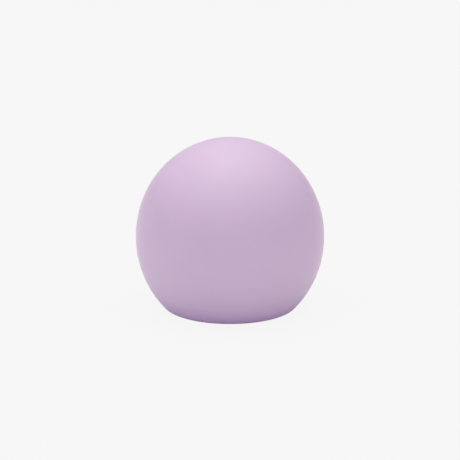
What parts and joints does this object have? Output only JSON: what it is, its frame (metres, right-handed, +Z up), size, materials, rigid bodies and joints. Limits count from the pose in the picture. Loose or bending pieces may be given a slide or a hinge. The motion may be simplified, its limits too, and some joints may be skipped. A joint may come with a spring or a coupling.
{
  "type": "floating pool light",
  "caption": "Ball-shaped floating pool light: a matte lilac diffuser ball with a flattened underside that twists and lifts off a sealed lamp, battery and switch module.",
  "frame": {"origin": "on the floor, under the centre of the ball", "axes": "+Z up through the top of the ball, +Y towards the charging port cover, -Y towards the power button"},
  "size_m": [0.15, 0.15, 0.1367],
  "materials": {
    "lilac_shell": "satin",
    "collar_white": "satin",
    "seal_black": "matte",
    "seal_clear": "matte",
    "white_abs": "satin",
    "grey_abs": "matte",
    "black_plastic": "matte",
    "zinc_steel": "satin",
    "stainless": "polished",
    "aluminium": "satin",
    "frosted_pc": "satin",
    "board_green": "satin",
    "board_white": "satin",
    "chip_black": "matte",
    "led_white": "gloss",
    "cell_wrap": "gloss",
    "nickel": "satin",
    "lead_red": "satin",
    "lead_black": "satin",
    "ribbon_grey": "satin",
    "clear_pc": "gloss"
  },
  "bodies": {
    "base": {"base_cap": "white_abs", "foot_pads": "seal_black", "ballast_ring": "zinc_steel", "port_hinge_pin": "stainless", "charge_port_shell": "nickel", "charge_port_tongue": "black_plastic", "port_seal": "seal_clear", "button_retainer": "grey_abs", "button_seal": "seal_black", "switch_body": "black_plastic", "indicator_light_pipe": "clear_pc", "indicator_led": "led_white", "main_board": "board_green", "board_screws": "stainless", "control_chip": "chip_black", "driver_chips": "chip_black", "coil": "grey_abs", "capacitors": "aluminium", "led_header": "collar_white", "led_ribbon": "ribbon_grey", "battery_header": "collar_white", "battery_plug": "collar_white", "battery_cell": "cell_wrap", "battery_tabs": "nickel", "battery_lead_red": "lead_red", "battery_lead_black": "lead_black", "chassis": "grey_abs", "battery_straps": "black_plastic", "strap_screws": "stainless", "cover_gasket": "seal_black", "module_cover": "white_abs", "cover_screws": "stainless", "screw_seals": "seal_black", "lens_seal": "seal_black", "lens_dome": "frosted_pc", "lens_ring": "grey_abs", "lens_ring_screws": "stainless", "heat_spreader": "aluminium", "led_board": "board_white", "led_board_screws": "stainless", "led_chips": "led_white", "ir_receiver": "chip_black"},
    "seal": {"shell_seal": "seal_black"},
    "shell": {"diffuser_shell": "lilac_shell", "shell_collar": "collar_white"},
    "power_button": {"power_button": "grey_abs", "button_clip": "stainless"},
    "switch_plunger": {"switch_plunger": "black_plastic"},
    "port_cover": {"port_cover": "seal_black"},
    "tether": {"tether_ring": "stainless"}
  },
  "joints": [
    {"name": "shell_twist", "type": "hinge", "parent": "base", "child": "seal", "pos_m": [0, 0, 0.004], "axis": [0, 0, 1], "range_deg": [0, 30]},
    {"name": "shell_lift", "type": "slide", "parent": "seal", "child": "shell", "axis": [0, 0, 1], "range_m": [0, 0.1]},
    {"name": "button_press", "type": "slide", "parent": "base", "child": "power_button", "axis": [0, 0, 1], "range_m": [0, 0.0005], "stiffness_N_per_m": 1500},
    {"name": "plunger_press", "type": "slide", "parent": "base", "child": "switch_plunger", "axis": [0, 0, 1], "range_m": [0, 0.0005]},
    {"name": "port_cover_hinge", "type": "hinge", "parent": "base", "child": "port_cover", "pos_m": [0, 0.0166, 0.00265], "axis": [-1, 0, 0], "range_deg": [0, 90]},
    {"name": "tether_hinge", "type": "hinge", "parent": "base", "child": "tether", "pos_m": [0, 0.0094, 0.0031], "axis": [1, 0, 0], "range_deg": [0, 90]}
  ],
  "couplings": [
    {"joint": "plunger_press", "follows": "button_press", "ratio": 1}
  ]
}
